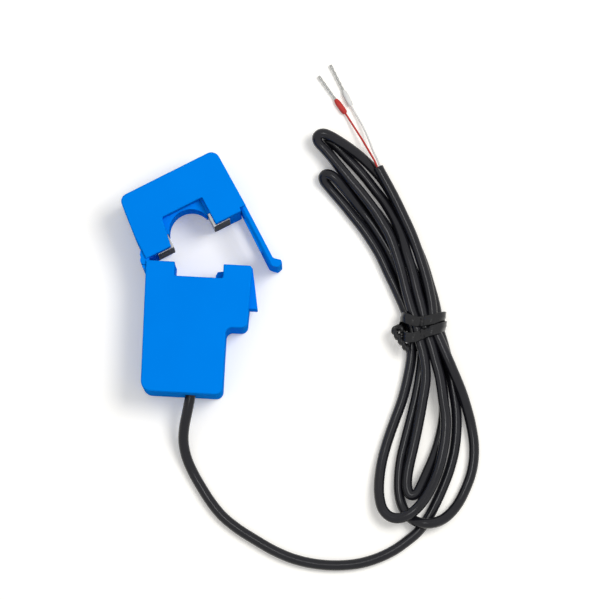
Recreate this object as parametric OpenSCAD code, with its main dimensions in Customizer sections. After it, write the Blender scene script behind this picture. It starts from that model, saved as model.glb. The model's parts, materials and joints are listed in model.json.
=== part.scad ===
// Split-core current transformer: a snap-shut clamp with a hinged cap, on a tied two-core lead.
// It lies on its back: Z = 0 is the back, the conductor passes along Z through the origin,
// the base's leg tops are at Y = 0, the cap is towards +Y and the lead leaves towards -Y.

/* [Clamp] */
// Thickness of the clamp, from its back to its front
depth = 20; // [19:0.5:23]
// Angle that the cap stands open
open_angle = 30; // [0:5:60]
// Clear width between the legs of the core
bore_w = 15.3; // [14:0.1:17]
// Width of the slot in the base, and of the window in the cap
slot_w = 16.6; // [16:0.1:18]
// Radius of the round saddle in the cap
saddle_r = 7.5; // [6.4:0.1:7.5]
// Height of the saddle's crown above the parting line
saddle_top = 9.8; // [9.4:0.1:12]
// Depth of the slot in the base, below the parting line
slot_depth = 4.8; // [4:0.1:6]
// Plastic beside the core's legs, from the core to the outside
side_wall = 4.5; // [3.6:0.1:6]
// Wall of the front faces and of the back covers
face_wall = 1.6; // [1.2:0.1:2.2]
// Radius of the moulded edges round the front faces
edge_r = 0.45; // [0.2:0.05:0.8]

/* [Base] */
// Height of the base, from the parting line to its foot
base_h = 44.6; // [42:0.1:60]
// Height of the wide block, from the parting line to the step
block_h = 21.5; // [21:0.1:26]
// How far the step is set in from the block's right side
step_w = 7.2; // [5:0.1:8]
// How far the block's right side leans in from the parting line to the step
right_lean = 0.7; // [0:0.1:1]
// How far the left side leans in from the parting line to the foot
left_lean = 0.7; // [0:0.1:1]
// Distance of the lead's centre from the conductor's axis
lead_x = -0.8; // [-4:0.1:1]

/* [Catch and latch] */
// Length of the wedge that the latch snaps over
wedge_len = 14.2; // [12:0.1:17]
// How far the wedge stands out of the base at its foot
wedge_out = 2.5; // [1.5:0.1:2.8]
// Width of the wedge, front to back
wedge_w = 9.2; // [7:0.1:11]
// Thickness of the latch arm
arm_t = 2.05; // [1.8:0.05:2.4]
// Length of the bar and the thumb tab below the arm's window
arm_tail = 8.1; // [6:0.1:9]

/* [Core and coil] */
// Width of the core's legs and yokes
core_w = 6; // [5:0.1:6.4]
// Height of the leaf spring over the upper core
spring_h = 1.9; // [1.4:0.1:2.6]
// Wall of the cap over the spring
top_wall = 2.9; // [1.6:0.1:3.4]

/* [Hinge] */
// Radius of the hinge pin
pin_r = 0.75; // [0.6:0.05:0.9]
// Radius of the hinge knuckles
knuckle_r = 1.6; // [1.5:0.05:1.8]

/* [Lead] */
// Outer diameter of the lead's sheath
lead_d = 3.6; // [3.4:0.1:4]
// Diameter of the two insulated cores in the lead
core_wire_d = 0.8; // [0.7:0.1:1.2]
// Diameter of a ferrule's bare metal pin
ferrule_d = 1.1; // [1:0.1:1.4]
// Length of a ferrule's bare metal pin
ferrule_len = 10; // [8:0.5:12]
// Length of a ferrule's plastic collar
collar_len = 6; // [5:0.5:7]
// Diameter of a ferrule's plastic collar
collar_d = 2.1; // [1.8:0.1:2.6]

/* [Hidden] */
$fn = 48;

// clearances
seat = 0.1;            // between a piece and the pocket that it sits in
running = 0.05;        // between a pin and its bore
parting = 0.15;        // between the closed halves
pole_step = 0.35;      // how far a core's pole stands out of the cap's legs
pole_gap = 0.3;        // between the poles of the closed core
past = 1;              // how far a cut runs past the face that it opens
slot_skin = 0.5;       // plastic between the slot in the base and the core's channels

// levels, back to front
mid_z = depth / 2;
core_depth = depth - 2 * face_wall - 3;
core_z0 = mid_z - core_depth / 2;
core_z1 = mid_z + core_depth / 2;
room_z1 = depth - face_wall;

// widths
bore_half = bore_w / 2;
core_half = bore_half + core_w;
half_w = core_half + side_wall;
slot_half = slot_w / 2;
right_foot = half_w - right_lean;
foot_right = right_foot - step_w;
foot_left = left_lean - half_w;
foot_wall = 2;

// base, downwards from the parting line
lower_bore_half = slot_half + slot_skin + seat;
slot_wall = 1.6;
room_top = -slot_depth - slot_wall;
room_foot = foot_wall - block_h;
yoke_y = (room_top + room_foot) / 2;
lower_pole = parting - pole_step - pole_gap;

// cap, upwards from the parting line, as it lies when it is shut
saddle_y = saddle_top - saddle_r;
ceiling = saddle_top + 0.6;
upper_yoke = ceiling + 2;
upper_core_top = upper_yoke + core_w;
spring_top = upper_core_top + spring_h;
cap_h = spring_top + top_wall;

// hinge at the left of the parting line
hinge = [-half_w - 0.5, 0.1];
knuckle_gap = 0.2;
hinge_z = [face_wall + knuckle_gap, mid_z - 3.7, mid_z + 3.7, depth - 1];
pin_z1 = hinge_z[3] - 1.2;

// latch arm at the right of the cap
arm_x0 = half_w + 0.3;
arm_x1 = arm_x0 + arm_t;
arm_root = [(arm_x0 + arm_x1) / 2, parting + 1.2];
arm_w = depth - 2 * (face_wall + seat);
arm_z0 = mid_z - arm_w / 2;
arm_foot = -wedge_len - 0.3;
arm_end = arm_foot - arm_tail;
window_w = wedge_w + 1;

// Outlines: corners are [x, y, radius], counter-clockwise

function unit(v) = v / norm(v);
function turn(u, v) = u.x * v.y - u.y * v.x;
function flat(corner) = [corner.x, corner.y];
function chords(radius) = radius > 1 ? 7 : 3;

// corner i of an outline, moved in by d from both of its sides
function inset_corner(corners, i, d) =
    let (
        count = len(corners),
        q = flat(corners[i]),
        u = unit(q - flat(corners[(i + count - 1) % count])),
        v = unit(flat(corners[(i + 1) % count]) - q),
        convex = turn(u, v) > 0
    )
    [
        each q + ([-u.y, u.x] + [-v.y, v.x]) * d / (1 + u * v),
        max(0.02, corners[i].z + (convex ? -d : d))
    ];

// the arc that rounds corner q between its neighbours p and s
function arc_corner(p, q, s, count) =
    let (
        a = unit(flat(p) - flat(q)),
        b = unit(flat(s) - flat(q)),
        half = acos(a * b) / 2,
        centre = flat(q) + unit(a + b) * q.z / sin(half),
        from = flat(q) + a * q.z / tan(half) - centre,
        to = flat(q) + b * q.z / tan(half) - centre,
        start = atan2(from.y, from.x),
        sweep = atan2(turn(from, to), from * to)
    )
    [for (k = [0 : count]) centre + q.z * [cos(start + sweep * k / count), sin(start + sweep * k / count)]];

function outline(corners, inset = 0) =
    let (
        count = len(corners),
        moved = [for (i = [0 : count - 1]) inset_corner(corners, i, inset)]
    )
    [
        for (i = [0 : count - 1])
        each arc_corner(
            moved[(i + count - 1) % count], moved[i], moved[(i + 1) % count], chords(corners[i].z)
        )
    ];

// side faces between rings of count points each, from ring k to ring m
function band(count, k, m) =
    [
        for (i = [0 : count - 1])
        [k * count + i, m * count + i, m * count + (i + 1) % count, k * count + (i + 1) % count]
    ];

// what the rounded edge of a moulding leaves out, all the way round its front at z1
module edge_waste(corners, z1) {
    out = 0.4;
    levels = [
        [z1 - edge_r, -out],
        [z1 + out, -out],
        [z1 + out, edge_r],
        for (a = [90 : -30 : 0]) [z1 - edge_r * (1 - sin(a)), edge_r * (1 - cos(a))]
    ];
    rings = [for (level = levels) [for (p = outline(corners, level[1])) [p.x, p.y, level[0]]]];
    count = len(rings[0]);
    polyhedron(
        points = [for (ring = rings) each ring],
        faces = [for (k = [0 : len(rings) - 1]) each band(count, k, (k + 1) % len(rings))],
        convexity = 6
    );
}

// a moulding of one outline from z0 to z1, with its front edge rounded
module moulding(corners, z0, z1) {
    difference() {
        plate(corners, z0, z1);
        edge_waste(corners, z1);
    }
}

module plate(corners, z0, z1) {
    translate([0, 0, z0])
        linear_extrude(z1 - z0)
            polygon(outline(corners));
}

module box(low, high) {
    translate(low)
        cube(high - low);
}

// a cylinder along Z
module post(at, r, z0, z1) {
    translate([at.x, at.y, z0])
        cylinder(h = z1 - z0, r = r);
}

// a cylinder along Y
module rod_y(x, z, r, y0, y1) {
    translate([x, y0, z])
        rotate([-90, 0, 0])
            cylinder(h = y1 - y0, r = r);
}

// what belongs to the cap is drawn shut and swung open here
module on_cap() {
    translate([hinge.x, hinge.y, 0])
        rotate(open_angle)
            translate([-hinge.x, -hinge.y, 0])
                children();
}

// Base

base_corners = [
    [foot_left, -base_h, 3.4],
    [foot_right, -base_h, 2.4],
    [foot_right, -block_h, 2.2],
    [right_foot, -block_h, 2.3],
    [half_w, 0, 1.2],
    [slot_half, 0, 0.3],
    [slot_half, -slot_depth, 0.6],
    [-slot_half, -slot_depth, 0.6],
    [-slot_half, 0, 0.3],
    [-half_w, 0, 0.3]
];

wedge_corners = [
    [half_w - 2, -wedge_len, 0.1],
    [half_w + wedge_out, -wedge_len, 0.35],
    [half_w + 0.05, -0.3, 0.1],
    [half_w - 2, -0.3, 0.1]
];

// the web that ties the middle knuckle to the base
base_web = [
    [hinge.x + 0.9, -4.1, 0.1],
    [hinge.x + 2, -4.1, 0.1],
    [hinge.x + 2, -parting, 0.1],
    [hinge.x, -parting, 0.1],
    [hinge.x - 0.9, -1.2, 0.2],
    [hinge.x - 0.6, -2.4, 0.4]
];

module knuckle_space(z0, z1) {
    post(hinge, knuckle_r + knuckle_gap, z0 - knuckle_gap, z1 + knuckle_gap);
}

module base_shell() {
    color("dodgerblue")
    difference() {
        union() {
            moulding(base_corners, face_wall, depth);
            plate(wedge_corners, mid_z - wedge_w / 2, mid_z + wedge_w / 2);
            plate(base_web, face_wall, hinge_z[3]);
            post(hinge, knuckle_r, hinge_z[1] + knuckle_gap, hinge_z[2] - knuckle_gap);
        }
        // room for the coil, open to the back
        box([-core_half - 1.4, room_foot, 0], [core_half + 1.4, room_top, room_z1]);
        // room for the circuit board, in the foot
        box([foot_left + foot_wall, foot_wall - base_h, 0], [foot_right - foot_wall, room_foot + past, room_z1]);
        // channels of the core's legs, and their mouths, where the upper core comes in
        for (side = [-1, 1]) {
            box(
                [min(side * (slot_half + slot_skin), side * (core_half + seat)), room_top - past, core_z0 - seat],
                [max(side * (slot_half + slot_skin), side * (core_half + seat)), past, core_z1 + seat]
            );
            box(
                [min(side * (bore_half - seat), side * core_half), lower_pole, core_z0 - seat],
                [max(side * (bore_half - seat), side * core_half), past, core_z1 + seat]
            );
        }
        knuckle_space(hinge_z[0], hinge_z[1]);
        knuckle_space(hinge_z[2], hinge_z[3]);
        post(hinge, pin_r + running, face_wall, pin_z1 + running);
        // the lead's way out
        rod_y(lead_x, mid_z, lead_d / 2 + seat, -base_h - past, -base_h + foot_wall + past);
    }
    // lug in the slot, beside the right leg
    color("dodgerblue")
        plate(
            [
                [slot_half - 2.6, -slot_depth - 0.5, 0.1],
                [slot_half + 0.3, -slot_depth - 0.5, 0.1],
                [slot_half + 0.3, 2.9 - slot_depth, 0.1],
                [slot_half - 2, 2.6 - slot_depth, 0.5],
                [slot_half - 2.6, 1.2 - slot_depth, 0.4]
            ],
            mid_z - 4.6, mid_z + 4.6
        );
}

board_w = 16;
board_h = 11;
board_t = 1;
board_lift = 3.4;
board_z = face_wall + board_lift;
board_x = (foot_left + foot_right) / 2;
board_below = 3.5;
board_y = room_foot - board_below - board_h;

module base_back_cover() {
    color("royalblue") {
        plate(base_corners, 0, face_wall);
        // ribs that locate it in the coil's room
        for (side = [-1, 1])
            box(
                [side * (core_half + 0.8) - 0.5, room_foot + seat, face_wall],
                [side * (core_half + 0.8) + 0.5, room_top - seat, face_wall + 2]
            );
        // posts under the circuit board
        for (side = [-1, 1])
            post([board_x + side * board_w / 3, board_y + board_h / 2], 1.4, face_wall, board_z);
    }
}

// one half of the core: two legs from pole to yoke, outer corners as the strip is bent
module core_half_ring(leg_half, pole, yoke_inner, yoke_outer) {
    way = sign(yoke_outer - pole);
    shape = [
        [-core_half, pole, 0.1],
        [-core_half, yoke_outer, 3.5],
        [core_half, yoke_outer, 3.5],
        [core_half, pole, 0.1],
        [leg_half, pole, 0.1],
        [leg_half, yoke_inner, seat],
        [-leg_half, yoke_inner, seat],
        [-leg_half, pole, 0.1]
    ];
    plate(way > 0 ? [for (i = [7 : -1 : 0]) shape[i]] : shape, core_z0, core_z1);
}

module lower_core() {
    color("gray")
        core_half_ring(lower_bore_half, lower_pole, yoke_y + core_w / 2, yoke_y - core_w / 2);
}

bobbin_wall = 0.5;
bobbin_half = lower_bore_half - seat;
flange_t = 0.8;
coil_room = min(room_top - yoke_y, yoke_y - room_foot) - seat;

module yoke_sleeve(half_length, grow) {
    box(
        [-half_length, yoke_y - core_w / 2 - grow, core_z0 - grow],
        [half_length, yoke_y + core_w / 2 + grow, core_z1 + grow]
    );
}

module bobbin() {
    color("ivory")
    difference() {
        union() {
            yoke_sleeve(bobbin_half, seat + bobbin_wall);
            for (side = [-1, 1])
                box(
                    [min(side * bobbin_half, side * (bobbin_half - flange_t)), yoke_y - coil_room, face_wall + 0.2],
                    [max(side * bobbin_half, side * (bobbin_half - flange_t)), yoke_y + coil_room, room_z1 - 0.2]
                );
        }
        yoke_sleeve(bobbin_half + past, seat);
    }
}

winding_half = bobbin_half - flange_t - seat;

module secondary_winding() {
    color("peru") {
        difference() {
            box(
                [-winding_half, yoke_y - coil_room + 0.5, face_wall + 0.3],
                [winding_half, yoke_y + coil_room - 0.5, room_z1 - 0.3]
            );
            yoke_sleeve(winding_half + past, seat + bobbin_wall + 0.02);
        }
        // its two ends, down to the circuit board's pads
        for (side = [-1, 1])
            rod_y(
                board_x + side * 2.5, board_z + board_t + 0.5, 0.4,
                board_y + board_h - 2, yoke_y - coil_room + 1
            );
    }
}

module circuit_board() {
    color("seagreen")
        box(
            [board_x - board_w / 2, board_y, board_z],
            [board_x + board_w / 2, board_y + board_h, board_z + board_t]
        );
}

module suppressor_diode() {
    color("dimgray")
        box(
            [board_x - 2.3, board_y + 3.6, board_z + board_t],
            [board_x + 2.3, board_y + 7.2, board_z + board_t + 2.2]
        );
}

// Lead

// a ring of points about the place at, square to the direction along
function ring(at, along, r, sides) =
    let (
        across = unit(cross(along, [0, 0, 1])),
        up = cross(across, along)
    )
    [for (k = [0 : sides - 1]) at + r * (cos(360 * k / sides + 22.5) * across - sin(360 * k / sides + 22.5) * up)];

function heading(route, i) =
    unit(route[min(i + 1, len(route) - 1)] - route[max(i - 1, 0)]);

module cord(route, r) {
    sides = 8;
    last = len(route) - 1;
    polyhedron(
        points = [for (i = [0 : last]) each ring(route[i], heading(route, i), r, sides)],
        faces = [
            [for (i = [0 : sides - 1]) i],
            for (k = [0 : last - 1]) each band(sides, k, k + 1),
            [for (i = [sides - 1 : -1 : 0]) last * sides + i]
        ]
    );
}

anchor_y = foot_wall - base_h;
anchor_t = 2.4;
stub_y = anchor_y + anchor_t + 1.2;
wire_r = core_wire_d / 2;
on_board = board_z + board_t + wire_r;

module inner_lead(side) {
    cord(
        [
            [lead_x + side * 0.8, stub_y, mid_z],
            [lead_x + side * 0.8, stub_y + 1, mid_z],
            [lead_x + side * 1.6, stub_y + 2.6, (mid_z + on_board) / 2],
            [board_x + side * 4.5, board_y + 1.2, on_board],
            [board_x + side * 4.5, board_y + 3.4, on_board]
        ],
        wire_r
    );
}

module inner_lead_red() {
    color("red")
        inner_lead(-1);
}

module inner_lead_white() {
    color("white")
        inner_lead(1);
}

module lead_anchor() {
    color("black")
    difference() {
        rod_y(lead_x, mid_z, lead_d / 2 + 1.3, anchor_y, anchor_y + anchor_t);
        rod_y(lead_x, mid_z, lead_d / 2 + running, anchor_y - past, anchor_y + anchor_t + past);
    }
}

// the lead's way from the base to its hank, lying down as it goes
lead_route = [
    [lead_x, stub_y, mid_z],
    [lead_x, -base_h, mid_z],
    [-1.5, -50, 9.4],
    [-2.3, -55, 7.4],
    [-2.4, -60, 4.9],
    [-1.2, -65, 2.9],
    [1.2, -70, 2],
    [4.4, -75, 1.8],
    [8, -80, 1.8],
    [12.2, -84.6, 1.8],
    [17.6, -88.6, 1.8],
    [24, -92.2, 1.8],
    [30.5, -95.5, 1.8],
    [37.5, -98, 1.8],
    [45, -99.3, 1.8],
    [52.5, -99.4, 1.8],
    [60, -98.3, 1.8],
    [66.5, -96, 1.8],
    [72, -92.9, 1.8],
    [76, -89.7, 1.8],
    [79.4, -86.5, 1.8]
];
lead_end = lead_route[len(lead_route) - 1];
lead_way = heading(lead_route, len(lead_route) - 1);

module lead_cable() {
    color("black")
        cord(lead_route, lead_d / 2);
}

// the tied hank of the lead: two fans of loops, and the neck that the tie holds
hank_h = 7.5;
neck_x = [71, 84.8];
neck_y = [-19.4, -11.8];
neck_z = [0.7, hank_h];

// half of the hank's flat face across an end of the lead
function mouth(at, way, side) = [at.x + side * 2.4 * way.y, at.y - side * 2.4 * way.x, 0.2];

lower_fan = [
    [63.4, -84.6, 6],
    mouth(lead_end, lead_way, -1),
    mouth(lead_end, lead_way, 1),
    [88, -86.4, 4],
    [96.8, -76.4, 9],
    [99.8, -58, 10],
    [96.4, -44, 12],
    [neck_x[1], neck_y[0], 0.4],
    [neck_x[0], neck_y[0], 0.4],
    [69.6, -42, 14],
    [63, -68, 9]
];

tail_at = [58.8, 39.9];
tail_way = unit([-1.1, 1.4]);
tail_z = 5.5;
apart = 0.6 * [tail_way.y, -tail_way.x];
red_start = tail_at - apart;
white_start = tail_at + apart;
red_collar = [46.7, 57.8];
red_way = unit([-6.2, 7.9]);
red_bend = [-0.3, -0.2];
white_collar = [48.5, 60.5];
white_way = unit([-4.9, 8.7]);
white_bend = [0.9, 0.4];

upper_fan = [
    [neck_x[0], neck_y[1], 0.4],
    [neck_x[1], neck_y[1], 0.4],
    [80.8, 2, 14],
    [70.8, 23.4, 12],
    mouth(tail_at, tail_way, 1),
    mouth(tail_at, tail_way, -1),
    [50, 48.4, 8],
    [38.6, 52.4, 3],
    [35.2, 48.4, 3],
    [41.2, 39.6, 1.5],
    [37.4, 36, 2],
    [38.4, 31.4, 3],
    [51, 19.6, 12],
    [62.6, 2, 14]
];

module lead_hank() {
    color("black") {
        plate(lower_fan, 0, hank_h);
        plate(upper_fan, 0, hank_h);
        box([neck_x[0], neck_y[0] - past, neck_z[0]], [neck_x[1], neck_y[1] + past, neck_z[1]]);
    }
}

tie_t = 1;

module twist_tie() {
    wrap_w = 3.6;
    color("black") {
        // its two turns round the neck
        for (y = [neck_y[0], neck_y[1] - wrap_w])
            difference() {
                box(
                    [neck_x[0] - tie_t, y, neck_z[0] - tie_t / 2],
                    [neck_x[1] + tie_t, y + wrap_w, neck_z[1] + tie_t]
                );
                box(
                    [neck_x[0], y - past, neck_z[0]],
                    [neck_x[1], y + wrap_w + past, neck_z[1]]
                );
            }
        // its twisted ends, folded down over the hank
        plate(
            [
                [67.4, -17.8, 0.6],
                [72.8, -25, 0.6],
                [75, -23.4, 0.6],
                [72.6, -18, 0.6],
                [72.6, -13.4, 0.3],
                [70.2, -13.4, 0.3]
            ],
            hank_h, hank_h + 1.8
        );
    }
}

// Cores and ferrules at the lead's bare end, and the crimped way in of each core
module bare_core(start, bend, collar, way) {
    cord(
        [
            [each start, tail_z],
            [each start + tail_way, tail_z],
            for (step = [[0.3, 0.5, 4.2], [0.5, 1, 3], [0.75, 1, 1.7]])
            [each start * (1 - step[0]) + collar * step[0] + bend * step[1], step[2]],
            [each collar, collar_d / 2],
            [each collar + way * 2, collar_d / 2]
        ],
        wire_r
    );
}

// draws its child along X from the collar's back end
module on_ferrule(collar, way) {
    translate([collar.x, collar.y, collar_d / 2])
        rotate(atan2(way.y, way.x))
            rotate([0, 90, 0])
                children();
}

module ferrule_collar(collar, way) {
    on_ferrule(collar, way)
        difference() {
            union() {
                cylinder(h = collar_len - 1.5, r = collar_d / 2);
                translate([0, 0, collar_len - 1.5])
                    cylinder(h = 1.5, r1 = collar_d / 2, r2 = ferrule_d / 2 + 0.35);
            }
            translate([0, 0, -past])
                cylinder(h = past + 2, r = wire_r);
        }
}

module ferrule_pin(collar, way) {
    on_ferrule(collar, way)
        translate([0, 0, collar_len])
            cylinder(h = ferrule_len, r = ferrule_d / 2);
}

module red_core() {
    color("firebrick")
        bare_core(red_start, red_bend, red_collar, red_way);
}

module white_core() {
    color("whitesmoke")
        bare_core(white_start, white_bend, white_collar, white_way);
}

module red_ferrule_collar() {
    color("red")
        ferrule_collar(red_collar, red_way);
}

module white_ferrule_collar() {
    color("white")
        ferrule_collar(white_collar, white_way);
}

module red_ferrule_pin() {
    color("silver")
        ferrule_pin(red_collar, red_way);
}

module white_ferrule_pin() {
    color("silver")
        ferrule_pin(white_collar, white_way);
}

// Cap, drawn shut

cap_left = hinge.x + 0.6;
cheek_y = saddle_y + 2.4;
cap_corners = [
    [cap_left, parting, 0.3],
    [-slot_half - 0.3, parting, 0.3],
    [-slot_half + 1.45, ceiling, 0.6],
    [slot_half, ceiling, 0.4],
    [slot_half + 0.15, parting, 0.3],
    [half_w + 0.1, parting, 0.4],
    [half_w + 0.1, arm_root.y, 0.05],
    [arm_x1, arm_root.y, 0.05],
    [arm_x1 - 0.7, cap_h, 3],
    [cap_left + 1.2, cap_h, 2.7],
    [cap_left - 0.1, 8.5, 12]
];

// the web that ties the outer knuckles to the cap
cap_web = [
    [hinge.x - 0.9, 1.3, 0.2],
    [hinge.x, parting, 0.1],
    [hinge.x + 2, parting, 0.1],
    [hinge.x + 2, 4.5, 0.1],
    [hinge.x + 0.8, 4.5, 0.1],
    [hinge.x - 0.7, 2.5, 0.5]
];

module hinge_pin() {
    color("silver")
        post(hinge, pin_r, hinge_z[0], pin_z1);
}

module cap_shell() {
    color("dodgerblue")
    on_cap() {
        difference() {
            union() {
                moulding(cap_corners, face_wall, depth);
                plate(cap_web, hinge_z[0], hinge_z[3]);
                post(hinge, knuckle_r, hinge_z[0], hinge_z[3]);
                // saddle that closes the bore round
                difference() {
                    box(
                        [-bore_half + seat, cheek_y, mid_z - core_depth * 0.42],
                        [bore_half - seat, ceiling + past, mid_z + core_depth * 0.42]
                    );
                    post([0, saddle_y], saddle_r, 0, depth);
                }
            }
            // channels of the core's legs and yoke, and the spring's room
            for (side = [-1, 1])
                box(
                    [min(side * (bore_half - seat), side * (core_half + seat)), -past, 0],
                    [max(side * (bore_half - seat), side * (core_half + seat)), spring_top, core_z1 + seat]
                );
            box(
                [-core_half - seat, upper_yoke - seat, 0],
                [core_half + seat, spring_top, core_z1 + seat]
            );
            knuckle_space(hinge_z[1] + knuckle_gap, hinge_z[2] - knuckle_gap);
            // blind bore of the hinge pin, which goes in from the back
            post(hinge, pin_r + running, face_wall, pin_z1 + running);
            // socket of the latch arm's root
            post(arm_root, arm_t / 2 + running, arm_z0 - 0.15, arm_z0 + arm_w + 0.15);
        }
        // ledges beside the saddle, over the core's legs
        for (side = [-1, 1])
            box(
                [min(side * (bore_half - seat), side * (slot_half + 0.5)), cheek_y, core_z1 + seat],
                [max(side * (bore_half - seat), side * (slot_half + 0.5)), ceiling + 0.2, core_z1 + 0.6]
            );
    }
}

module cap_back_cover() {
    color("royalblue")
    on_cap() {
        plate(cap_corners, 0, face_wall);
        // ribs that hold the core against the front
        for (side = [-1, 1])
            box(
                [side * (bore_half + core_w / 2) - 1, 2, face_wall],
                [side * (bore_half + core_w / 2) + 1, upper_core_top - 1, core_z0]
            );
    }
}

module upper_core() {
    color("gray")
    on_cap()
        core_half_ring(bore_half, parting - pole_step, upper_yoke, upper_core_top);
}

spring_t = 0.4;
spring_inset = 2.4;
spring_w = 10;
spring_half = core_half - spring_inset;
spring_z = [mid_z - spring_w / 2, mid_z + spring_w / 2];
spring_bow = spring_h - spring_t - 0.1;
spring_r = (pow(spring_half, 2) + pow(spring_bow, 2)) / (2 * spring_bow);
spring_at = [0, upper_core_top + spring_t + spring_r];

// leaf spring bowed between the cap's top and the core
module core_spring() {
    color("lightsteelblue")
    on_cap()
        intersection() {
            box(
                [-spring_half, upper_core_top, spring_z[0]],
                [spring_half, spring_top, spring_z[1]]
            );
            difference() {
                post(spring_at, spring_r + spring_t, spring_z[0], spring_z[1], $fn = 160);
                post(spring_at, spring_r, 0, depth, $fn = 160);
            }
        }
}

bevel = 0.8;
bevel_side = sqrt(2) * bevel;

arm_corners = [
    [arm_x0, arm_root.y, 0.02],
    [arm_x0, arm_end + 2.1, 1.2],
    [arm_x0 + 2.2, arm_end, 0.9],
    [arm_x1 + 2.2, arm_end + 0.5, 0.7],
    [arm_x1 + 2.3, arm_end + 1.8, 0.5],
    [arm_x1 + 0.2, arm_end + 3.6, 1],
    [arm_x1, arm_root.y, 0.02]
];

module latch_arm() {
    color("dodgerblue")
    on_cap()
        difference() {
            union() {
                plate(arm_corners, arm_z0, arm_z0 + arm_w);
                post(arm_root, arm_t / 2, arm_z0, arm_z0 + arm_w);
            }
            // window that takes the wedge
            box(
                [arm_x0 - past, arm_foot, mid_z - window_w / 2],
                [arm_x1 + past, -1, mid_z + window_w / 2]
            );
            // bevels along the inner edges
            for (z = [arm_z0, arm_z0 + arm_w])
                translate([arm_x0, arm_end - past, z])
                    rotate([0, 45, 0])
                        translate([-bevel_side / 2, 0, -bevel_side / 2])
                            cube([bevel_side, arm_root.y - arm_end + 3 * past, bevel_side]);
        }
}

base_shell();
base_back_cover();
lower_core();
bobbin();
secondary_winding();
circuit_board();
suppressor_diode();
inner_lead_red();
inner_lead_white();
lead_anchor();
hinge_pin();
cap_shell();
cap_back_cover();
upper_core();
core_spring();
latch_arm();
lead_cable();
lead_hank();
twist_tie();
red_core();
white_core();
red_ferrule_collar();
white_ferrule_collar();
red_ferrule_pin();
white_ferrule_pin();
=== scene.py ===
# %% A split-core current transformer, dressed for a picture
import json
import math

import bmesh
import bpy
import numpy as np
from mathutils import Matrix, Vector


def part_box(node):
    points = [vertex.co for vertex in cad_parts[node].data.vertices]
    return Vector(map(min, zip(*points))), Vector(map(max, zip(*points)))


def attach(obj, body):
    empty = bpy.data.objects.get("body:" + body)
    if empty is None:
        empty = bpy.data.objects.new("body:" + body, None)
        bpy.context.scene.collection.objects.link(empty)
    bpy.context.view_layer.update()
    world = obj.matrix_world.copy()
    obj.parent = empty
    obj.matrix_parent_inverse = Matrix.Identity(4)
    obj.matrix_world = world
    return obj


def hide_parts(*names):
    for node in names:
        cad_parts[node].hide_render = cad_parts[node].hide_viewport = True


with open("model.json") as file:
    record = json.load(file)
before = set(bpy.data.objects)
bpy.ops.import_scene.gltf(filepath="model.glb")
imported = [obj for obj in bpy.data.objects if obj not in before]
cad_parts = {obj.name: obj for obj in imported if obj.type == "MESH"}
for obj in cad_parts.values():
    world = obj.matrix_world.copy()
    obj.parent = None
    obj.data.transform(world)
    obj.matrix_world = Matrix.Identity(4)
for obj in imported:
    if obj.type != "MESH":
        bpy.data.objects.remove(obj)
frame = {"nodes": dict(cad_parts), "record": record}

scene = bpy.context.scene
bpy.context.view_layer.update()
MM = 0.001
for name in sorted(frame["nodes"]):
    low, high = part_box(name)
    print(name, [round((b - a) / MM, 1) for a, b in zip(low, high)])

# %% [markdown]
# ## Camera
# A small flat thing is shown best from almost straight above, through a long lens.
# The lens is long because a short one would show too much of the clamp's walls.
# The camera leans a few degrees towards the foot of the clamp, so that a little of the foot's wall
# shows.

# %%
LEAN = math.radians(6.6)
ROLL = math.radians(3.1)
REACH = 1.17
LENS, SENSOR = 203, 36  # millimetres
target = Vector((0.0348, -0.0086, 0))
image_up = Vector((-math.sin(ROLL), math.cos(ROLL), 0))
toward_camera = Vector((0, 0, 1)) * math.cos(LEAN) - image_up * math.sin(LEAN)
image_right = image_up.cross(toward_camera).normalized()
camera_up = toward_camera.cross(image_right)

camera_data = bpy.data.cameras.new("camera")
camera_data.lens = LENS
camera_data.sensor_width = SENSOR
camera_data.clip_end = 20


def place_in_scene(name, data):
    """A new object that shows this data."""
    obj = bpy.data.objects.new(name, data)
    scene.collection.objects.link(obj)
    return obj


camera = place_in_scene("camera", camera_data)
facing = Matrix((image_right, camera_up, toward_camera)).transposed().to_4x4()
camera.matrix_world = Matrix.Translation(target + toward_camera * REACH) @ facing
scene.camera = camera
print("camera", [round(v, 3) for v in camera.location])

# %% [markdown]
# ## Lead
# The lead is one cable from the foot of the clamp to the cut end of its sheath.
# It could be a curve drawn once through its points, but a tied hank has dozens of places where
# strands lie on each other, and heights listed one by one always leave a few strands inside others.
# So the route is roughly given, then laid down like a real cable: strands that are closer
# than one diameter push each other apart, the table holds them up, and a little stiffness keeps
# them round.

# %%
CABLE = 3.6
# places in millimetres, run by run from the clamp; a run ends where the tie takes the strand
lead = [
    (-0.8, -39, 10), (-0.8, -44.6, 10), (-1.5, -50, 9.4), (-2.3, -55, 7.4), (-2.4, -60, 4.9),
    (-1.2, -65, 2.9), (1.2, -70, 2), (4.4, -75, 1.8), (8, -80, 1.8), (12.2, -84.6, 1.8),
    (17.6, -88.6, 1.8), (24, -92.2, 1.8), (30.5, -95.5, 1.8), (37.5, -98, 1.8), (45, -99.3, 1.8),
    (52.5, -99.4, 1.8), (60, -98.3, 1.8), (66.5, -96, 1.8), (72, -92.9, 1.8), (76, -89.7, 1.8),
    (79.4, -86.5, 1.8),
]
lead_up = [
    (82.4, -82, 1.8), (84.8, -77, 1.8), (87.2, -71, 1.8), (89.3, -64.4, 1.8), (90.7, -57, 1.8),
    (91, -49, 1.8), (90.4, -42, 1.8), (88.9, -35.4, 1.9), (86.8, -28.6, 2.1),
]
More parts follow.
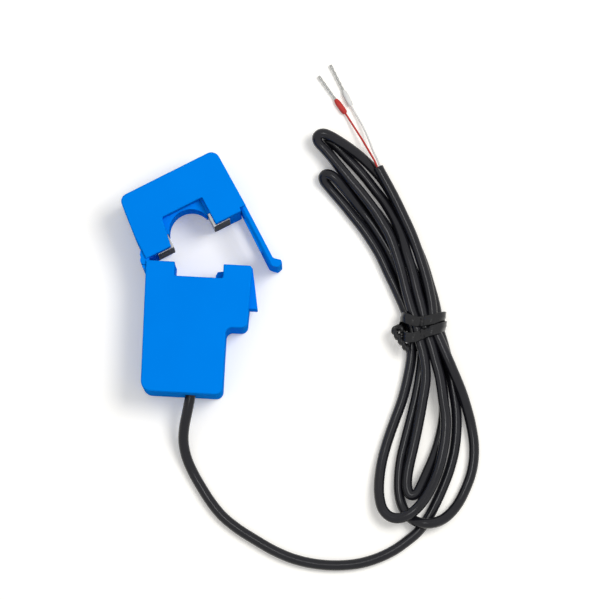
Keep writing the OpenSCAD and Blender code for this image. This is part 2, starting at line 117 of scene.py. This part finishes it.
far_loop = [
    (80.9, -8, 2.2), (78.8, -1, 2), (76.2, 6.5, 1.9), (73, 13, 1.8), (69.8, 19, 1.8),
    (66.6, 25.2, 1.8), (63.6, 30.6, 1.9), (60.6, 35, 2.2), (57.6, 38.2, 2.8), (53.7, 41.5, 3.8),
    (49.4, 44.4, 5), (45.5, 46.6, 6), (42, 48.3, 6.6), (39.4, 49, 6.6), (37.7, 48, 6),
    (38.1, 46.1, 5.2), (39.9, 44.4, 4.9), (41.9, 42.3, 5), (44.1, 39.9, 5.1), (46.7, 37, 5.3),
    (49.8, 33.6, 5.4), (53, 30.2, 5.4), (56.1, 26.7, 5.4), (59.2, 22.9, 5.4), (62.2, 18.6, 5.4),
    (64.9, 14.2, 5.4), (67.4, 8.4, 5.4), (69.6, 2.2, 5.5), (71.6, -4.4, 5.6),
]
small_turn = [
    (78.9, -26, 5.7), (79.7, -33.6, 5.4), (78.9, -41.3, 5), (77.7, -50, 4.4), (76.4, -57.7, 4),
    (75.2, -64.2, 3.8), (74.7, -68.6, 3.8), (75, -72, 4), (76.4, -74.4, 4.2),
    (78.2, -73.6, 4.2), (79.8, -70.4, 3.8), (81.5, -66.1, 3.2), (83.2, -61.7, 2.6),
    (84.7, -56.8, 2), (85.8, -51.5, 1.8), (86.4, -45.9, 1.8), (86, -39, 1.8),
    (84.8, -32.2, 1.9), (83.2, -26, 2.2),
]
inner_loop = [
    (77.8, -8, 2.2), (75.6, -1.4, 2), (72.8, 4.6, 1.9), (69.5, 10, 1.8), (65.9, 14.8, 1.8),
    (62.3, 19.5, 1.8), (58.7, 23.8, 1.8), (54.7, 28, 1.8), (50.8, 32.2, 1.8), (47.4, 36.2, 1.8),
    (44.3, 40, 1.8), (41.8, 43, 1.8), (40.3, 45, 1.9), (40.9, 46.6, 2.2), (43, 46.3, 2.6),
    (45.6, 44.4, 2.6), (48.8, 41.4, 2.2), (52.8, 37.6, 1.9), (56.2, 34, 1.8), (59, 30.8, 1.8),
    (61.9, 27.6, 2), (64.5, 24.1, 2.4), (66.8, 20.1, 3), (68.7, 15.2, 3.8), (70.4, 9.2, 4.8),
    (72.6, 3, 5.4), (74.6, -4, 5.7),
]
great_turn = [
    (81.3, -26, 5.8), (83.8, -33, 5.8), (85.6, -41.1, 5.6), (86.8, -47, 5.4), (87, -53, 5.4),
    (86.4, -59.1, 5.4), (85.2, -65.2, 5.6), (83.4, -70.5, 6), (81, -75.4, 6.6), (78.3, -79, 7),
    (75.5, -81.3, 6.8), (72.5, -82.4, 6.2), (69.6, -82, 5.6), (67.2, -79.9, 5), (65.8, -76.1, 4.2),
    (65.3, -71.4, 3.4), (65.8, -64, 2.6), (67.4, -56.3, 2.2), (69.7, -48.5, 2), (71.9, -41.3, 2),
    (73.5, -33.3, 2), (74.4, -26, 2.2),
]
near_loop = [
    (71.3, -8, 2.2), (68.8, -3, 1.9), (65.7, 2.6, 1.8), (62.6, 8.5, 1.8), (59.2, 13.4, 1.8),
    (55.5, 18, 1.8), (51.9, 21.8, 1.8), (48.2, 25.7, 1.8), (44.7, 29.2, 1.9), (42.2, 31.8, 2.2),
    (40.6, 33.6, 3), (41, 35.2, 4), (43, 35.1, 4.7), (45.4, 33.3, 4.7), (47.6, 31, 4.2),
    (49.8, 28.7, 3.4), (52, 26.2, 2.6), (53.9, 24, 2.1), (55.6, 22, 1.8), (58.3, 18.6, 1.8),
    (61, 14.6, 1.8), (63.8, 9.9, 1.8), (66.4, 4.8, 1.8), (69.4, -1, 1.9), (72.4, -7, 2.2),
]
right_turn = [
    (78, -26, 2.3), (77.4, -34.3, 2), (76.4, -41.3, 1.9), (75.1, -48.2, 1.8),
    (73.7, -55.2, 1.8), (72.6, -61.3, 1.8), (72.2, -67.3, 1.8), (72.4, -72.9, 1.8),
    (73.4, -77.1, 2), (75.4, -80.7, 2.8), (78, -82.8, 4.2), (81.2, -83.6, 5.4),
    (84.8, -83.2, 5.2), (88.4, -81.3, 3.8), (92.2, -76.9, 2.2), (95.3, -70.2, 1.8),
    (97, -63.8, 1.8), (97.2, -56.5, 1.8), (95.7, -48.9, 2), (93.2, -41.7, 3),
    (90.1, -34.7, 4.4), (87, -28.1, 5.5),
]
last_run = [
    (79.7, -7, 5.7), (77.8, 0.4, 5.6), (75.5, 6.9, 5.5), (73.2, 12.7, 5.4), (71, 17.4, 5.4),
    (68.8, 21.7, 5.4), (66.5, 26.1, 5.4), (64.6, 29.5, 5.4), (62.2, 33.5, 5.5), (59.4, 38.1, 5.6),
]
# where each strand lies in the tie, as (x, z): four below and three on those
SLOTS = {
    "lead": (82.9, 2.5), "far": (75.2, 5.7), "small": (79.8, 2.5), "inner": (78.3, 5.7),
    "great": (73.6, 2.5), "near": (76.7, 2.5), "right": (81.4, 5.7),
}
TIE_Y = (-13.5, -17.5)
LEAN_IN_TIE = -0.3


def in_tie(name, upward):
    """The two places where a strand enters and leaves the tie, in the order in which it is run."""
    x, z = SLOTS[name]
    middle = sum(TIE_Y) / 2
    return [
        (x + LEAN_IN_TIE * (y - middle), y, z) for y in (reversed(TIE_Y) if upward else TIE_Y)
    ]


rows = (
    lead + lead_up + in_tie("lead", True) + far_loop + in_tie("far", False)
    + small_turn + in_tie("small", True) + inner_loop + in_tie("inner", False)
    + great_turn + in_tie("great", True) + near_loop + in_tie("near", False)
    + right_turn + in_tie("right", True) + last_run
)
print("points on the route", len(rows))

# %% [markdown]
# ## A smooth line through the places
# A cable has no corners. The curve goes through every place and never loops back between two
# that lie close together, which an ordinary spline does where places are unevenly spaced.
# Afterwards its points are spread evenly, so that a push weighs the same everywhere.

# %%
SAMPLES = 16  # points worked out between two places


def spline_through(points, step):
    """Centripetal Catmull-Rom through the points, resampled evenly."""
    pts = [np.array(p, float) for p in points]
    pts = [2 * pts[0] - pts[1]] + pts + [2 * pts[-1] - pts[-2]]
    dense = []
    for p0, p1, p2, p3 in zip(pts, pts[1:], pts[2:], pts[3:]):
        t0 = 0.0
        t1 = t0 + np.linalg.norm(p1 - p0) ** 0.5
        t2 = t1 + np.linalg.norm(p2 - p1) ** 0.5
        t3 = t2 + np.linalg.norm(p3 - p2) ** 0.5
        for t in np.linspace(t1, t2, SAMPLES, endpoint=False):
            a1 = (t1 - t) / (t1 - t0) * p0 + (t - t0) / (t1 - t0) * p1
            a2 = (t2 - t) / (t2 - t1) * p1 + (t - t1) / (t2 - t1) * p2
            a3 = (t3 - t) / (t3 - t2) * p2 + (t - t2) / (t3 - t2) * p3
            b1 = (t2 - t) / (t2 - t0) * a1 + (t - t0) / (t2 - t0) * a2
            b2 = (t3 - t) / (t3 - t1) * a2 + (t - t1) / (t3 - t1) * a3
            dense.append((t2 - t) / (t2 - t1) * b1 + (t - t1) / (t2 - t1) * b2)
    dense.append(pts[-2])
    return evenly(np.array(dense), step)


def evenly(line, step):
    """The same line with points this far apart."""
    along = np.concatenate([[0], np.cumsum(np.linalg.norm(np.diff(line, axis=0), axis=1))])
    places = np.linspace(0, along[-1], int(round(along[-1] / step)) + 1)
    return np.stack([np.interp(places, along, line[:, k]) for k in range(3)], axis=1)


# %% [markdown]
# ## Lay the lead down
# A few hundred small turns push strands apart where they overlap. Only the shift is smoothed, never
# the line itself, so that the loops keep their size. The strands stay put where the tie and the
# clamp hold them.

# %%
STEP = 1.5
FINE_STEP = STEP / 3
ROUNDS = 260
NEIGHBOURS = 2.4  # points this many diameters or more apart along the lead count as two strands
GIVE = 0.4  # each strand's share of an overlap
HASTE = 1.6  # a turn moves a point by its mean push times this
STIFFNESS = 0.25  # how much a point follows the shift of the two beside it
NECK_X, CLAMP_X = 60, 8  # the tie is to the right of the one, the clamp to the left of the other
RELAX = 0.985  # how much of the shift is left after a turn, so that no strand wanders off


def settle(line, width, step, rounds):
    """Lays the line down: strands push apart, the table holds them and the shifts stay smooth."""
    start = line.copy()
    in_neck = (line[:, 1] > TIE_Y[1] - 1) & (line[:, 1] < TIE_Y[0] + 1) & (line[:, 0] > NECK_X)
    by_clamp = line[:, 0] < CLAMP_X
    held = in_neck | by_clamp
    held[-2:] = True
    i, j = np.triu_indices(len(line), int(NEIGHBOURS * width / step))
    shift = np.zeros_like(line)
    for turn in range(rounds):
        line = start + shift
        gap = line[j] - line[i]
        dist = np.linalg.norm(gap, axis=1)
        near = dist < width
        move = np.zeros_like(line)
        hits = np.zeros(len(line))
        a, b = i[near], j[near]
        push = gap[near] / dist[near][:, None] * ((width - dist[near]) * GIVE)[:, None]
        np.add.at(move, a, -push)
        np.add.at(move, b, push)
        np.add.at(hits, a, 1)
        np.add.at(hits, b, 1)
        shift += move / np.maximum(hits, 1)[:, None] * HASTE
        shift[:, 2] = np.maximum(shift[:, 2], width / 2 - start[:, 2])
        shift[held] = 0
        for again in range(3):
            shift[1:-1] += STIFFNESS * (shift[:-2] + shift[2:] - 2 * shift[1:-1])
        shift *= RELAX
    line = start + shift
    line[:, 2] = np.maximum(line[:, 2], width / 2)
    return line


placed = spline_through(rows, STEP)
cable_line = spline_through(evenly(settle(placed, CABLE, STEP, ROUNDS), STEP), FINE_STEP)
i, j = np.triu_indices(len(cable_line), int(NEIGHBOURS * CABLE / FINE_STEP))
closest = np.linalg.norm(cable_line[j] - cable_line[i], axis=1)
pressed = int((closest < 0.9 * CABLE).sum())
print("closest strands, mm", round(closest.min(), 2), "pairs under 0.9 d", pressed)


def cord_curve(name, line, width):
    """A round cord of this width, in millimetres, along a line in millimetres."""
    data = bpy.data.curves.new(name, "CURVE")
    data.dimensions = "3D"
    data.bevel_depth = width / 2
    data.bevel_resolution = 5
    data.use_fill_caps = True
    spline = data.splines.new("POLY")
    spline.points.add(len(line) - 1)
    for point, place in zip(spline.points, line):
        point.co = (*(np.array(place) * MM), 1)
        point.radius = MM  # brings the bevel to metres
    spline.use_smooth = True
    return place_in_scene(name, data)


cable = cord_curve("lead_sheath", cable_line, CABLE)
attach(cable, "housing")
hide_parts("lead_cable", "lead_hank")

# %% [markdown]
# ## Bare end of the lead
# The sheath is cut square, and its two cores run on from there to their ferrules.
# They are drawn as curves like the lead, because they bend freely and nothing holds them between
# the ends.

# %%
CORE = 0.7
CORE_STEP = 0.6
core_rows = {
    "red": [
        (60.1, 36.6, 5.6), (59, 38.4, 5.6), (57.9, 40.7, 5.1), (55.7, 44.3, 4.1), (53.2, 48.3, 3),
        (50.5, 52.3, 2), (48.6, 55.1, 1.4), (47, 57.4, 1.05), (45.8, 59, 1.05),
    ],
    "white": [
        (60.9, 37.1, 5.6), (60, 38.6, 5.6), (59, 40.9, 5.1), (57.4, 44, 4.2), (55.7, 48.1, 3),
        (53.8, 52.1, 2), (52, 55.2, 1.4), (50.3, 57.9, 1.1), (48.8, 60.2, 1.05), (47.8, 62, 1.05),
    ],
}
wires = {}
for colour, row in core_rows.items():
    wire = cord_curve(colour + "_wire", spline_through(row, CORE_STEP), CORE)
    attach(wire, "housing")
    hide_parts(colour + "_core")
    wires[colour] = wire
print("cores", {colour: len(row) for colour, row in core_rows.items()})

# %% [markdown]
# ## Ferrules and the cut sheath
# A ferrule is a tinned copper tube with a plastic collar, squeezed on to the strands of a core.
# All of these are round, so each is drawn out of a disc, step by step along its axis, and resized
# at every step. Plain cylinders would be quicker, but they would miss the collar's taper and the
# bands that the crimping tool leaves on the pin.

# %%
def turned(name, place, way, profile, sides=32):
    """A turned piece, extruded from a disc: the profile lists (distance along, radius)."""
    place, axis = Vector(place), Vector(way).normalized()
    bpy.ops.object.select_all(action="DESELECT")
    bpy.ops.mesh.primitive_circle_add(
        vertices=sides, radius=profile[0][1] * MM, fill_type="NGON",
        location=(place + axis * profile[0][0]) * MM,
        rotation=axis.to_track_quat("Z", "Y").to_euler(),
    )
    obj = bpy.context.object
    obj.name = name
    bpy.ops.object.transform_apply(location=True, rotation=True, scale=True)
    bpy.ops.object.mode_set(mode="EDIT")
    for (was, wide), (along, radius) in zip(profile, profile[1:]):
        bpy.ops.mesh.extrude_region_move(
            TRANSFORM_OT_translate={"value": axis * (along - was) * MM}
        )
        bpy.ops.transform.resize(
            value=[radius / wide] * 3, center_override=(place + axis * along) * MM
        )
    bpy.ops.mesh.select_all(action="SELECT")
    bpy.ops.mesh.normals_make_consistent(inside=False)
    bpy.ops.object.mode_set(mode="OBJECT")
    bpy.ops.object.shade_smooth_by_angle(angle=math.radians(40))
    return obj


END = Vector(cable_line[-1])
END_WAY = (END - Vector(cable_line[-4])).normalized()
# the cut sheath: a thin rim round a shallow hollow, from which the cores come
MOUTH = [
    (-0.6, 1.7), (-0.6, 1.82), (0.1, 1.82), (0.25, 1.72), (0.28, 1.55), (0.2, 1.3), (-0.1, 1.15),
    (-0.1, 0.1),
]
mouth = turned("sheath_mouth", END, END_WAY, MOUTH)
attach(mouth, "housing")

# A ferrule's collar narrows towards both ends, and its pin is squeezed every two millimetres.
COLLAR = [
    (0, 0.45), (0, 0.74), (0.5, 0.95), (1.3, 1.03), (4, 1.03), (5, 0.9), (5.7, 0.68), (6, 0.5),
]
PIN = [(5.6, 0.2), (5.6, 0.46), (7, 0.46)]
for k in range(4):
    PIN += [(7.3 + 2 * k, 0.34), (8.1 + 2 * k, 0.34), (8.4 + 2 * k, 0.46), (9 + 2 * k, 0.46)]
PIN += [(15.9, 0.45), (16, 0.4), (15.9, 0.34), (15.3, 0.3), (15.3, 0.02)]
# where each collar starts, and which way its pin points
ends = {
    "red": ((47, 57.4, 1.05), (-6.2, 7.9, 0)),
    "white": ((48.8, 60.2, 1.05), (-4.9, 8.7, 0)),
}
ferrules = []
for colour, (place, way) in ends.items():
    kinds = ("collar", COLLAR, colour + "_insulation"), ("pin", PIN, "tinned_copper")
    for kind, profile, slot in kinds:
        piece = turned(colour + "_crimped_" + kind, place, way, profile)
        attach(piece, "housing")
        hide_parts(colour + "_ferrule_" + kind)
        ferrules.append((piece, slot))
print("ferrule pieces", len(ferrules))

# %% [markdown]
# ## Twist tie
# A flat plastic strip with a wire in it goes twice round the neck of the hank, and its ends are
# twisted together at the side. A plain band would be quicker, but it would miss the diagonal second
# turn and the way the strip stands off the lead. So the strip's section, thick in the middle where
# the wire is, is swept along a path that is worked out from the neck, and then along the tail.

# %%
STRIP_WIDTH, STRIP_THICKNESS, STRIP_WIRE = 3.5, 0.36, 0.75
TAIL_WIDTH, TAIL_THICKNESS, TAIL_WIRE = 2.5, 1.15, 0.62
WRAP_STEP, TAIL_STEP = 0.35, 0.2
TAIL_PITCH = 4.6  # how much of the tail one full turn of the twist takes
WRAP_ACROSS = Vector((0.15, 1, 0))  # the way the strip's width lies
wrap_rows = [
    (70, -13.8, 2.2), (69.9, -13.3, 4.6), (70.6, -13.4, 7.2), (72, -14, 8.5),
    (74.1, -14.7, 9.2), (75.8, -14.8, 8.6), (77.1, -14.6, 7.9), (78.4, -14.3, 8.6),
    (80.3, -13.9, 9.4), (82, -13.3, 8.8), (83.4, -12.8, 8), (84.6, -12.4, 6.4),
    (85, -12.3, 4.4), (84.9, -12.6, 2.2), (84, -13, 0.3), (78, -14.2, 0.25),
    (71.5, -15.9, 0.25), (70.2, -17.3, 1.8), (70.2, -18.7, 4.6), (71.2, -20, 7.3),
    (72.9, -20.5, 8.6), (74.6, -20.3, 9.1), (76.1, -19.7, 8.5), (77.4, -18.9, 7.9),
    (78.9, -18.3, 8.6), (80.5, -17.7, 9.4), (82.2, -17.1, 8.8), (83.9, -16.3, 7.8),
    (85, -15.7, 5.8), (85.4, -15.3, 3.6), (84.8, -15, 1.2), (83.6, -14.9, 0.6),
    (78, -15.1, 0.6), (71.5, -15.6, 0.6), (69.8, -16.1, 1.8), (69.3, -16.9, 3.8),
]
tail_rows = [
    (70.9, -18.6, 4.6), (70.3, -17.7, 5), (69.5, -17.1, 5.4), (68.3, -17.2, 5.8), (68, -18.3, 6.2),
    (68.7, -19.6, 6.5), (69.9, -21.2, 6.7), (71.4, -23, 6.8), (73, -24.9, 6.6),
]


def heading(places, i):
    """The way the line runs at its i-th place."""
    return (places[min(i + 1, len(places) - 1)] - places[max(i - 1, 0)]).normalized()


def swept_skin(name, rings):
    """A mesh whose skin joins one ring of points, in millimetres, to the next."""
    mesh = bmesh.new()
    loops = [[mesh.verts.new(Vector(p) * MM) for p in ring] for ring in rings]
    for one, two in zip(loops, loops[1:]):
        for k in range(len(one)):
            mesh.faces.new((one[k - 1], one[k], two[k], two[k - 1]))
    mesh.faces.new(loops[0])
    mesh.faces.new(loops[-1][::-1])
    bmesh.ops.recalc_face_normals(mesh, faces=mesh.faces)
    data = bpy.data.meshes.new(name)
    mesh.to_mesh(data)
    mesh.free()
    for face in data.polygons:
        face.use_smooth = True
    return place_in_scene(name, data)


def strip(name, places, acrosses, width, thickness, wire):
    """A flat strip, swept along the places; wire is how much its middle swells over the wire."""
    section = [
        (-0.5, 0), (-0.46, 0.5), (-0.2, 0.5), (-0.1, wire), (0, wire * 1.25), (0.1, wire),
        (0.2, 0.5), (0.46, 0.5), (0.5, 0), (0.46, -0.5), (0.2, -0.5), (0.1, -wire),
        (0, -wire * 1.25), (-0.1, -wire), (-0.2, -0.5), (-0.46, -0.5),
    ]
    rings = []
    for i, place in enumerate(places):
        ahead = heading(places, i)
        across = acrosses[i].normalized()
        out = ahead.cross(across).normalized()
        across = out.cross(ahead)
        rings.append([place + across * u * width + out * v * thickness for u, v in section])
    return swept_skin(name, rings)


wrap_places = [Vector(p) for p in spline_through(wrap_rows, WRAP_STEP)]
wraps = strip(
    "tie_wraps", wrap_places, [WRAP_ACROSS] * len(wrap_places),
    STRIP_WIDTH, STRIP_THICKNESS, STRIP_WIRE,
)

tail_places = [Vector(p) for p in spline_through(tail_rows, TAIL_STEP)]
tail_across = []
for i in range(len(tail_places)):
    ahead = heading(tail_places, i)
    side = ahead.cross(Vector((0, 0, 1))).normalized()
    twist = 2 * math.pi * TAIL_STEP * i / TAIL_PITCH
    tail_across.append(side * math.cos(twist) + ahead.cross(side) * math.sin(twist))
tail = strip("tie_tail", tail_places, tail_across, TAIL_WIDTH, TAIL_THICKNESS, TAIL_WIRE)
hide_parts("twist_tie")
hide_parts("twist_tie")
for piece in (wraps, tail):
    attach(piece, "housing")
print("tie", len(wrap_places), "and", len(tail_places), "sections")

# %% [markdown]
# ## Light and floor
# The clamp lies on white paper. The light comes mostly from straight above, from a sky that fades
# towards the horizon, so that the fronts are bright and the walls fall off to a deep blue.
# An even white world would be simpler, but it washes the walls out. The level is plain: a colour
# comes out about as it is written. What makes the paper white is a weak glow that only the camera
# and shiny surfaces see, because stronger lamps would bleach the plastic and drown the shadows.
# One soft lamp at the upper right sends the shadows to the lower left, and a second, which only
# shiny surfaces see, draws the bright line along the lead.

# %%
scene.view_settings.view_transform = "Standard"
SKY_LOW, SKY_HIGH = 0.14, 1.0  # brightness of the sky near the horizon and overhead
SKY_FROM, SKY_TO = 0.5, 0.9  # the heights between which it brightens, as the sine of the angle
FLOOR_SIZE, FLOOR_DROP = 6, 0.0002  # metres
WHITE = (1, 1, 1, 1)


def node(tree, kind, values=(), links=(), **settings):
    """A new node with these settings, values at its inputs and links into them."""
    made = tree.nodes.new("ShaderNode" + kind)
    for setting, value in settings.items():
        setattr(made, setting, value)
    for socket, value in dict(values).items():
        made.inputs[socket].default_value = value
    for socket, source in dict(links).items():
        tree.links.new(source, made.inputs[socket])
    return made


def seen_rays(tree):
    """1 for rays that show the background, straight or in metal or glass, else 0."""
    path = node(tree, "LightPath")
    total = path.outputs["Is Camera Ray"]
    for ray in ("Is Glossy Ray", "Is Transmission Ray"):
        links = {0: total, 1: path.outputs[ray]}
        total = node(tree, "Math", links=links, operation="MAXIMUM").outputs["Value"]
    return total


world = bpy.data.worlds.new("studio")
scene.world = world
world.use_nodes = True
sky = world.node_tree
direction = node(sky, "TexCoord").outputs["Generated"]
height = node(sky, "SeparateXYZ", links={"Vector": direction}).outputs["Z"]
fade = node(
    sky, "MapRange", interpolation_type="SMOOTHSTEP", links={"Value": height},
    values={"From Min": SKY_FROM, "From Max": SKY_TO, "To Min": SKY_LOW, "To Max": SKY_HIGH},
)
level = node(
    sky, "Mix", values={"B": 1}, links={"Factor": seen_rays(sky), "A": fade.outputs["Result"]},
)
background = sky.nodes["Background"]
background.inputs["Color"].default_value = WHITE
sky.links.new(level.outputs["Result"], background.inputs["Strength"])


def lamp(name, place, aim, size, power):
    """A round soft lamp of this size in metres and power in watts."""
    data = bpy.data.lights.new(name, "AREA")
    data.shape = "DISK"
    data.size = size
    data.energy = power
    obj = place_in_scene(name, data)
    obj.location = place
    obj.rotation_euler = (Vector(aim) - Vector(place)).to_track_quat("-Z", "Y").to_euler()
    return obj


key = lamp("key", place=(0.5, 0.22, 0.97), aim=(0.03, -0.01, 0), size=0.5, power=6.5)
key.visible_glossy = False
shine = lamp("shine", place=(-0.1, 0.05, 1.3), aim=(0.05, -0.01, 0), size=0.3, power=2)
shine.visible_diffuse = False

bpy.ops.object.select_all(action="DESELECT")
bpy.ops.mesh.primitive_plane_add(size=FLOOR_SIZE, location=(0, 0, -FLOOR_DROP))
floor = bpy.context.object
floor.name = "floor"
print("sky", (SKY_LOW, SKY_HIGH), "lamps, W", (key.data.energy, shine.data.energy))

# %% [markdown]
# ## Materials
# Each finish is a handful of nodes: a colour that drifts a little, a roughness that drifts with it
# and a fine bump, all in object coordinates so that nothing swims when a part moves.
# A flat colour would be quicker, but moulded plastic shows faint flow, dust and wear even when new.
# The blue is a fine-grained moulding that hardly mirrors, so its index is close to 1, which keeps
# walls seen edge-on blue. The lead's sheath is smoother and gets a line of light along its top.

# %%
PAPER_GLOW = 0.17


def finish(
    name, colour, other, roughness, scale=60, bump=0.15, bump_scale=900, bump_size=0.02, **shader
):
    """A material that drifts between two colours, with a fine bump of bump_size millimetres."""
    material = bpy.data.materials.new(name)
    material.use_nodes = True
    tree = material.node_tree
    bsdf = tree.nodes["Principled BSDF"]
    own_place = node(tree, "TexCoord").outputs["Object"]
    drift = node(
        tree, "TexNoise", values={"Scale": scale, "Detail": 6}, links={"Vector": own_place},
    ).outputs["Fac"]
    mix = node(
        tree, "Mix", data_type="RGBA",
        values={"A": (*colour, 1), "B": (*other, 1)}, links={"Factor": drift},
    )
    tree.links.new(mix.outputs["Result"], bsdf.inputs["Base Color"])
    rough = node(
        tree, "MapRange", links={"Value": drift},
        values={"To Min": roughness * 0.8, "To Max": min(1, roughness * 1.25)},
    )
    tree.links.new(rough.outputs["Result"], bsdf.inputs["Roughness"])
    grain = node(
        tree, "TexNoise", values={"Scale": bump_scale, "Detail": 3}, links={"Vector": own_place},
    )
    relief = node(
        tree, "Bump", values={"Strength": bump, "Distance": bump_size * MM},
        links={"Height": grain.outputs["Fac"]},
    )
    tree.links.new(relief.outputs["Normal"], bsdf.inputs["Normal"])
    for socket, value in shader.items():
        bsdf.inputs[socket.replace("_", " ")].default_value = value
    return material


blue = finish("blue_abs", (0.0, 0.205, 0.79), (0.0, 0.228, 0.85), 0.5, IOR=1.01)
bright = finish("bright_steel", (0.55, 0.56, 0.58), (0.7, 0.71, 0.72), 0.25, Metallic=1.0)
tinned = finish(
    "tinned_copper", (0.3, 0.3, 0.29), (0.5, 0.5, 0.48), 0.3, scale=500, Metallic=1.0,
)
nylon = finish("natural_nylon", (0.75, 0.71, 0.6), (0.85, 0.82, 0.72), 0.5)
copper = finish("enamelled_copper", (0.5, 0.2, 0.07), (0.62, 0.28, 0.1), 0.35, Metallic=0.7)
board = finish("board_laminate", (0.02, 0.2, 0.07), (0.04, 0.27, 0.1), 0.4)
black = finish("black_moulding", (0.012, 0.012, 0.014), (0.024, 0.024, 0.026), 0.4)
sheath = finish(
    "black_sheath", (0.005, 0.005, 0.007), (0.012, 0.012, 0.016), 0.2,
    scale=220, bump=0.15, bump_scale=1400, IOR=1.36,
)
red = finish(
    "red_insulation", (0.42, 0.03, 0.03), (0.55, 0.05, 0.04), 0.4,
    scale=300, Specular_IOR_Level=0.2,
)
white = finish("white_insulation", (0.62, 0.62, 0.61), (0.75, 0.75, 0.73), 0.4, scale=300)
tie_black = finish(
    "tie_black", (0.004, 0.004, 0.005), (0.009, 0.009, 0.01), 0.24,
    scale=400, bump=0.05, IOR=1.4,
)
paper = finish("paper", (0.95, 0.93, 0.88), (0.96, 0.94, 0.89), 0.9, scale=8, bump=0.02)
glow = node(
    paper.node_tree, "Math", operation="MULTIPLY",
    values={1: PAPER_GLOW}, links={0: seen_rays(paper.node_tree)},
)
paper_shader = paper.node_tree.nodes["Principled BSDF"]
paper_shader.inputs["Emission Color"].default_value = WHITE
paper.node_tree.links.new(glow.outputs["Value"], paper_shader.inputs["Emission Strength"])
print("finishes", len(bpy.data.materials))

# %% [markdown]
# ## Steel of the cores
# Each core half is a stack of thin steel sheets. The sides are bright. The two ends, where the
# halves meet, are painted dark as painted shade, with fine dark lines in it for the edges of the
# sheets.
# One material does both, by the way each face looks in the core's own axes. Two materials would
# need the ends picked by hand.

# %%
SIDES = ((0.2, 0.205, 0.21), (0.34, 0.34, 0.335))
# painted shade for the end faces, and the low metalness that keeps them dark
END_SHADE = ((0.03, 0.03, 0.032, 1), (0.1, 0.1, 0.095, 1))
SIDE_METAL, END_SHADE_METAL = 0.9, 0.1


def shaded_core_ends(name, ends):
    """Core steel whose end faces, the ones that look this way, get painted shade, darker than its
    sides.
    """
    material = finish(name, *SIDES, 0.34, scale=200, IOR=1.01)
    tree = material.node_tree
    bsdf = tree.nodes["Principled BSDF"]
    coords = node(tree, "TexCoord").outputs
    look = node(
        tree, "VectorMath", operation="DOT_PRODUCT",
        values={1: Vector(ends).normalized()}, links={0: coords["Normal"]},
    )
    # the mask of the end faces, which get the painted shade
    in_end_shade = node(
        tree, "MapRange", values={"From Min": 0.7, "From Max": 0.95},
        links={"Value": look.outputs["Value"]},
    ).outputs["Result"]
    layers = node(
        tree, "TexWave", bands_direction="Z",
        values={"Scale": 500, "Distortion": 1.5}, links={"Vector": coords["Object"]},
    )
    # the painted shade, with the edges of the sheets as fine lines in it
    dark = node(
        tree, "Mix", data_type="RGBA",
        values={"A": END_SHADE[0], "B": END_SHADE[1]}, links={"Factor": layers.outputs["Fac"]},
    )
    side_colour = bsdf.inputs["Base Color"].links[0].from_socket
    mix = node(
        tree, "Mix", data_type="RGBA",
        links={"Factor": in_end_shade, "A": side_colour, "B": dark.outputs["Result"]},
    )
    tree.links.new(mix.outputs["Result"], bsdf.inputs["Base Color"])
    metal = node(
        tree, "MapRange", values={"To Min": SIDE_METAL, "To Max": END_SHADE_METAL},
        links={"Value": in_end_shade},
    )
    tree.links.new(metal.outputs["Result"], bsdf.inputs["Metallic"])
    return material


cores = {
    "upper_core": shaded_core_ends("upper_core_steel", (0.5, -0.866, 0)),
    "lower_core": shaded_core_ends("lower_core_steel", (0, 1, 0)),
}
print("cores", sorted(cores))

# %% [markdown]
# ## Who wears what
# The solids keep their shapes and take a finish by their slot, and the pieces made here take theirs
# one by one. The slots stay as they are, so that another finish can be put on later.

# %%
finishes = {
    "blue_plastic": blue, "natural_nylon": nylon, "enamelled_wire": copper,
    "board_laminate": board, "black_moulding": black, "red_insulation": red,
    "white_insulation": white, "bright_steel": bright, "black_sheath": sheath,
    "tinned_copper": tinned,
}


def wear(obj, material):
    """Gives the object this one material."""
    obj.data.materials.clear()
    obj.data.materials.append(material)


for part in frame["record"]["subparts"]:
    name = part["node"]
    wear(frame["nodes"][name], cores[name] if name in cores else finishes[part["material_slot"]])
for piece, slot in ferrules:
    wear(piece, finishes[slot])
coats = [
    (cable, sheath), (mouth, sheath), (wires["red"], red), (wires["white"], white),
    (wraps, tie_black), (tail, tie_black), (floor, paper),
]
for obj, coat in coats:
    wear(obj, coat)
print("dressed", len(frame["nodes"]) + len(ferrules) + len(coats))

# %%
bpy.context.view_layer.update()
